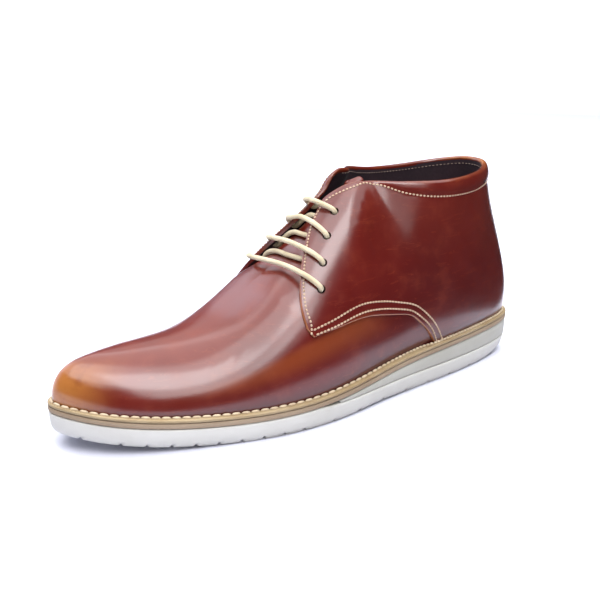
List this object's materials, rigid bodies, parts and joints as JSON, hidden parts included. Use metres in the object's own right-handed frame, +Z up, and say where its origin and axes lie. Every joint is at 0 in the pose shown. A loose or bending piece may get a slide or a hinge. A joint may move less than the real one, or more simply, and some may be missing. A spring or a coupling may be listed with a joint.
{
  "type": "chukka boot",
  "caption": "Lace-up leather ankle boot for the left foot, with open lacing, a plain vamp, a tan welt and a pale wedge sole of light foam.",
  "frame": {"origin": "middle of the bounding box, on the floor that the sole stands on", "axes": "+X from the heel to the toe, +Y to the shoe's left, its outer side, +Z up"},
  "size_m": [0.3125, 0.099, 0.1316],
  "materials": {
    "outsole": "matt off-white foam with a fine skin",
    "wedge": "matt warm grey foam",
    "midsole": "pinkish tan board, dyed and waxed edge",
    "welt": "golden tan strip with a row of cream stitches",
    "upper": "glossy pull-up leather, chestnut with dark burgundy sides and an orange burnished toe",
    "tongue": "the same leather, less glossy",
    "lining": "near-black aubergine lining",
    "lace": "round waxed cotton, cream"
  },
  "bodies": {
    "root": {"outsole": "outsole", "wedge": "wedge", "midsole": "midsole", "welt": "welt", "insole": "lining", "upper": "upper", "tongue": "tongue", "lace": "lace"}
  },
  "joints": []
}
